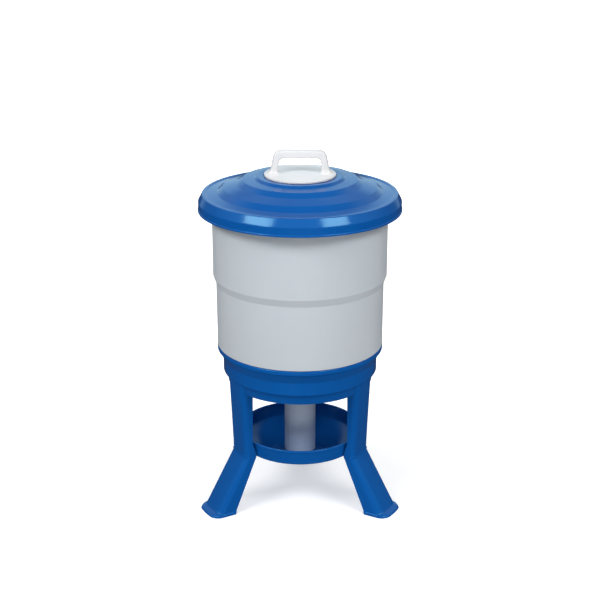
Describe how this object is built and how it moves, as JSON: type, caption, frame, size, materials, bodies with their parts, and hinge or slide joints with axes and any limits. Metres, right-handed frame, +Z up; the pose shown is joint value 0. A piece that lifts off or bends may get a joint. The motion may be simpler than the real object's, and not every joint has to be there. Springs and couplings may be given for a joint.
{
  "type": "gravity poultry feeder",
  "caption": "Gravity feeder for poultry: lidded round tank on a funnel base, with an adjustable flow tube down into a round dish held between splayed legs.",
  "frame": {"origin": "on the floor, on the axis of the tank, dish and flow tube, which is the centre of the circle through the three feet", "axes": "+Z up along the tank's axis; +Y toward the rear leg; +X to the right, seen from the front, along the grip of the cap"},
  "size_m": [0.4266, 0.4438, 0.7645],
  "materials": {
    "blue_plastic": "glossy moulded polypropylene",
    "white_plastic": "smooth moulded, satin",
    "tank_plastic": "milky translucent polyethylene, satin",
    "grey_plastic": "extruded pipe, satin",
    "seal_rubber": "soft, matt",
    "screw_steel": "zinc plated"
  },
  "bodies": {
    "stand": {"funnel_base": "blue_plastic", "feed_dish": "blue_plastic", "leg_front_left": "blue_plastic", "leg_front_right": "blue_plastic", "leg_rear": "blue_plastic", "leg_screws": "screw_steel", "dish_screws": "screw_steel", "dish_nuts": "screw_steel"},
    "tank": {"hopper_tank": "tank_plastic"},
    "lid": {"lid": "blue_plastic"},
    "cap": {"filler_cap": "white_plastic", "cap_seal": "seal_rubber"},
    "tube": {"flow_tube": "grey_plastic"}
  },
  "joints": [
    {"name": "tank_lift", "type": "slide", "parent": "stand", "child": "tank", "axis": [0, 0, 1], "range_m": [0, 0.12]},
    {"name": "lid_lift", "type": "slide", "parent": "tank", "child": "lid", "axis": [0, 0, 1], "range_m": [0, 0.1]},
    {"name": "cap_turn", "type": "hinge", "parent": "lid", "child": "cap", "pos_m": [0, 0, 0.7], "axis": [0, 0, 1], "range_deg": [0, 60]},
    {"name": "tube_height", "type": "slide", "parent": "stand", "child": "tube", "axis": [0, 0, 1], "range_m": [-0.006, 0.016]}
  ]
}
